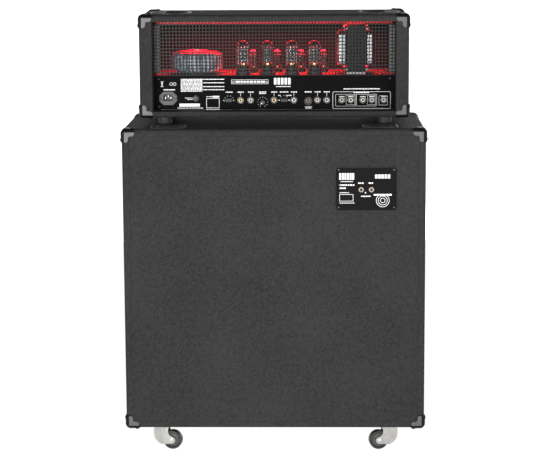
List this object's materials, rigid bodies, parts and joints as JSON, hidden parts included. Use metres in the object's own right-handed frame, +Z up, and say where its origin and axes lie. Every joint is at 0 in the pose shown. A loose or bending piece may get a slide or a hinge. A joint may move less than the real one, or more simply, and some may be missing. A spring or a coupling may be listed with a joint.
{
  "type": "guitar amplifier stack",
  "caption": "Valve guitar amplifier head on rubber feet standing on a tall closed speaker cabinet with swivel casters, corner protectors and recessed handles.",
  "frame": {"origin": "on the floor, under the middle of the cabinet", "axes": "+Z up, +Y towards the rear panels, -Y towards the grille and controls, +X to the right seen from the front"},
  "size_m": [0.7772, 0.387, 1.1366],
  "materials": {
    "tolex": "fine-grained black vinyl covering over plywood",
    "wood": "bare softwood batten",
    "baffle": "black-stained plywood",
    "grille_cloth": "stretched black woven speaker cloth",
    "piping": "grey vinyl piping",
    "corner_plastic": "moulded black plastic",
    "black_plate": "satin black enamel with white print",
    "jack_metal": "nickel-plated ring nuts",
    "jack_plastic": "black plastic socket with plated ring",
    "black_steel": "black-coated pressed steel",
    "magnet": "dark ferrite and zinc-plated plates",
    "cone_paper": "ribbed black paper cone",
    "zinc": "bright zinc-plated pressed steel",
    "chrome": "polished plated steel",
    "wheel_rubber": "hard black rubber wheel",
    "rubber": "black rubber",
    "chassis_steel": "zinc-plated folded steel",
    "grille_steel": "dark grey coated mesh of square holes",
    "winding": "winding wrapped in blue-grey polyester tape",
    "lamination": "black laminated core with plated end covers",
    "valve_glass": "clear glass envelopes with silver getters",
    "bakelite": "moulded black plastic",
    "led": "red light strip",
    "board": "green fibreglass board with black capacitors",
    "knob_plastic": "black moulded plastic with a white pointer",
    "rocker_plastic": "black rocker"
  },
  "bodies": {
    "cabinet": {"cabinet_shell": "tolex", "cabinet_rear_panel": "tolex", "cabinet_battens": "wood", "cabinet_baffle": "baffle", "grille_cloth": "grille_cloth", "grille_piping": "piping", "cabinet_corners": "corner_plastic", "jack_plate": "black_plate", "cabinet_jacks": "jack_metal", "speaker_frames": "black_steel", "speaker_magnets": "magnet", "side_handles": "corner_plastic", "top_cups": "corner_plastic", "caster_plates": "zinc"},
    "head": {"head_shell": "tolex", "head_corners": "corner_plastic", "head_feet": "rubber", "head_handles": "corner_plastic", "chassis": "chassis_steel", "rear_panel": "black_plate", "rear_grille": "grille_steel", "front_panel": "black_plate", "front_grille": "grille_steel", "mains_transformer": "winding", "output_transformer": "lamination", "valves": "valve_glass", "valve_sockets": "bakelite", "led_strip": "led", "circuit_board": "board", "rear_jacks": "jack_plastic", "mains_inlet": "bakelite", "rear_fittings": "bakelite", "front_fittings": "bakelite"},
    "caster_fork_1": {"caster_fork_1": "chrome"},
    "caster_wheel_1": {"caster_wheel_1": "wheel_rubber"},
    "caster_fork_2": {"caster_fork_2": "chrome"},
    "caster_wheel_2": {"caster_wheel_2": "wheel_rubber"},
    "caster_fork_3": {"caster_fork_3": "chrome"},
    "caster_wheel_3": {"caster_wheel_3": "wheel_rubber"},
    "caster_fork_4": {"caster_fork_4": "chrome"},
    "caster_wheel_4": {"caster_wheel_4": "wheel_rubber"},
    "speaker_cone_1": {"speaker_cone_1": "cone_paper"},
    "speaker_cone_2": {"speaker_cone_2": "cone_paper"},
    "speaker_cone_3": {"speaker_cone_3": "cone_paper"},
    "speaker_cone_4": {"speaker_cone_4": "cone_paper"},
    "rear_level_knob": {"rear_level_knob": "knob_plastic"},
    "rear_slider_1": {"rear_slider_1": "knob_plastic"},
    "rear_slider_2": {"rear_slider_2": "knob_plastic"},
    "front_knob_1": {"front_knob_1": "knob_plastic"},
    "front_knob_2": {"front_knob_2": "knob_plastic"},
    "front_knob_3": {"front_knob_3": "knob_plastic"},
    "front_knob_4": {"front_knob_4": "knob_plastic"},
    "front_knob_5": {"front_knob_5": "knob_plastic"},
    "front_knob_6": {"front_knob_6": "knob_plastic"},
    "front_knob_7": {"front_knob_7": "knob_plastic"},
    "channel_toggle": {"channel_toggle": "chrome"},
    "standby_rocker": {"standby_rocker": "rocker_plastic"},
    "power_rocker": {"power_rocker": "rocker_plastic"}
  },
  "joints": [
    {"name": "head_lift", "type": "slide", "parent": "cabinet", "child": "head", "axis": [0, 0, 1], "range_m": [0, 0.15]},
    {"name": "caster_1_swivel", "type": "hinge", "parent": "cabinet", "child": "caster_fork_1", "pos_m": [0.297, 0.125, 0.072], "axis": [0, 0, 1], "continuous": true},
    {"name": "caster_1_roll", "type": "hinge", "parent": "caster_fork_1", "child": "caster_wheel_1", "pos_m": [0.26943, 0.12986, 0.025], "axis": [0.1736, 0.9848, 0], "continuous": true},
    {"name": "caster_2_swivel", "type": "hinge", "parent": "cabinet", "child": "caster_fork_2", "pos_m": [-0.297, 0.125, 0.072], "axis": [0, 0, 1], "continuous": true},
    {"name": "caster_2_roll", "type": "hinge", "parent": "caster_fork_2", "child": "caster_wheel_2", "pos_m": [-0.26943, 0.12986, 0.025], "axis": [0.1736, -0.9848, 0], "continuous": true},
    {"name": "caster_3_swivel", "type": "hinge", "parent": "cabinet", "child": "caster_fork_3", "pos_m": [0.297, -0.125, 0.072], "axis": [0, 0, 1], "continuous": true},
    {"name": "caster_3_roll", "type": "hinge", "parent": "caster_fork_3", "child": "caster_wheel_3", "pos_m": [0.27142, -0.13639, 0.025], "axis": [-0.4067, 0.9135, 0], "continuous": true},
    {"name": "caster_4_swivel", "type": "hinge", "parent": "cabinet", "child": "caster_fork_4", "pos_m": [-0.297, -0.125, 0.072], "axis": [0, 0, 1], "continuous": true},
    {"name": "caster_4_roll", "type": "hinge", "parent": "caster_fork_4", "child": "caster_wheel_4", "pos_m": [-0.27142, -0.13639, 0.025], "axis": [-0.4067, -0.9135, 0], "continuous": true},
    {"name": "cone_1_travel", "type": "slide", "parent": "cabinet", "child": "speaker_cone_1", "axis": [0, 1, 0], "range_m": [-0.005, 0.005], "stiffness_N_per_m": 1200},
    {"name": "cone_2_travel", "type": "slide", "parent": "cabinet", "child": "speaker_cone_2", "axis": [0, 1, 0], "range_m": [-0.005, 0.005], "stiffness_N_per_m": 1200},
    {"name": "cone_3_travel", "type": "slide", "parent": "cabinet", "child": "speaker_cone_3", "axis": [0, 1, 0], "range_m": [-0.005, 0.005], "stiffness_N_per_m": 1200},
    {"name": "cone_4_travel", "type": "slide", "parent": "cabinet", "child": "speaker_cone_4", "axis": [0, 1, 0], "range_m": [-0.005, 0.005], "stiffness_N_per_m": 1200},
    {"name": "rear_level", "type": "hinge", "parent": "head", "child": "rear_level_knob", "pos_m": [0.031, 0.05, 0.9048], "axis": [0, 1, 0], "range_deg": [-60, 240]},
    {"name": "rear_switch_1", "type": "slide", "parent": "head", "child": "rear_slider_1", "axis": [1, 0, 0], "range_m": [0, 0.004]},
    {"name": "rear_switch_2", "type": "slide", "parent": "head", "child": "rear_slider_2", "axis": [1, 0, 0], "range_m": [0, 0.004]},
    {"name": "front_control_1", "type": "hinge", "parent": "head", "child": "front_knob_1", "pos_m": [-0.172, -0.162, 0.929], "axis": [0, -1, 0], "range_deg": [-150, 150]},
    {"name": "front_control_2", "type": "hinge", "parent": "head", "child": "front_knob_2", "pos_m": [-0.124, -0.162, 0.929], "axis": [0, -1, 0], "range_deg": [-150, 150]},
    {"name": "front_control_3", "type": "hinge", "parent": "head", "child": "front_knob_3", "pos_m": [-0.076, -0.162, 0.929], "axis": [0, -1, 0], "range_deg": [-150, 150]},
    {"name": "front_control_4", "type": "hinge", "parent": "head", "child": "front_knob_4", "pos_m": [-0.028, -0.162, 0.929], "axis": [0, -1, 0], "range_deg": [-150, 150]},
    {"name": "front_control_5", "type": "hinge", "parent": "head", "child": "front_knob_5", "pos_m": [0.02, -0.162, 0.929], "axis": [0, -1, 0], "range_deg": [-150, 150]},
    {"name": "front_control_6", "type": "hinge", "parent": "head", "child": "front_knob_6", "pos_m": [0.068, -0.162, 0.929], "axis": [0, -1, 0], "range_deg": [-150, 150]},
    {"name": "front_control_7", "type": "hinge", "parent": "head", "child": "front_knob_7", "pos_m": [0.116, -0.162, 0.929], "axis": [0, -1, 0], "range_deg": [-150, 150]},
    {"name": "channel_select", "type": "hinge", "parent": "head", "child": "channel_toggle", "pos_m": [-0.238, -0.16, 0.929], "axis": [1, 0, 0], "range_deg": [-11, 11]},
    {"name": "standby_switch", "type": "hinge", "parent": "head", "child": "standby_rocker", "pos_m": [0.232, -0.16, 0.929], "axis": [1, 0, 0], "range_deg": [-5, 5]},
    {"name": "power_switch", "type": "hinge", "parent": "head", "child": "power_rocker", "pos_m": [0.272, -0.16, 0.929], "axis": [1, 0, 0], "range_deg": [-5, 5]}
  ]
}
